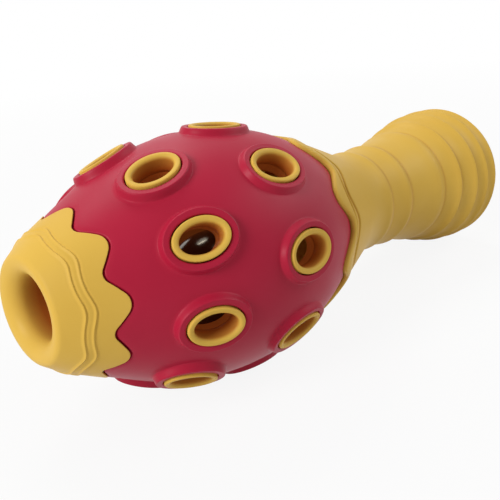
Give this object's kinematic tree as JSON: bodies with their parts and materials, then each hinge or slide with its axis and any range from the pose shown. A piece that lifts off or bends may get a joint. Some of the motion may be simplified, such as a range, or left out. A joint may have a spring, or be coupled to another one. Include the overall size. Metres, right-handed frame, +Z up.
{
  "type": "dog treat toy",
  "caption": "Rubber dog toy: barrel body with rings of oval treat holes, a round filling mouth in the nose, a ribbed handle and a loose rattle ball inside.",
  "frame": {"origin": "on the floor under the middle of the toy as it lies at rest on two rear bosses and the grip", "axes": "+X from the nose towards the grip along the floor, +Z up, -Y the side seen in the picture"},
  "size_m": [0.201, 0.076, 0.0757],
  "materials": {
    "red_rubber": "satin moulded rubber",
    "yellow_rubber": "satin moulded rubber",
    "amber_rubber": "satin moulded rubber",
    "dark_plastic": "glossy moulded plastic",
    "bright_steel": "polished bearing ball"
  },
  "bodies": {
    "toy": {"outer_shell": "red_rubber", "inner_liner": "amber_rubber", "nose_cap": "yellow_rubber", "handle_grip": "yellow_rubber", "front_eyelet_1": "yellow_rubber", "front_eyelet_2": "yellow_rubber", "front_eyelet_3": "yellow_rubber", "front_eyelet_4": "yellow_rubber", "front_eyelet_5": "yellow_rubber", "front_eyelet_6": "yellow_rubber", "front_eyelet_7": "yellow_rubber", "front_eyelet_8": "yellow_rubber", "front_eyelet_9": "yellow_rubber", "rear_eyelet_1": "yellow_rubber", "rear_eyelet_2": "yellow_rubber", "rear_eyelet_3": "yellow_rubber", "rear_eyelet_4": "yellow_rubber", "rear_eyelet_5": "yellow_rubber", "rear_eyelet_6": "yellow_rubber", "rear_eyelet_7": "yellow_rubber", "rear_eyelet_8": "yellow_rubber", "rear_eyelet_9": "yellow_rubber"},
    "ball": {"ball_front_half": "dark_plastic", "ball_rear_half": "dark_plastic"},
    "pellet": {"rattle_pellet": "bright_steel"}
  },
  "joints": [
    {"name": "ball_roll", "type": "hinge", "parent": "toy", "child": "ball", "pos_m": [-0.03604, 0, 0.03723], "axis": [0.9974, 0, -0.0715], "continuous": true},
    {"name": "pellet_roll", "type": "hinge", "parent": "ball", "child": "pellet", "pos_m": [-0.03694, 0, 0.0247], "axis": [0.9974, 0, -0.0715], "continuous": true}
  ]
}
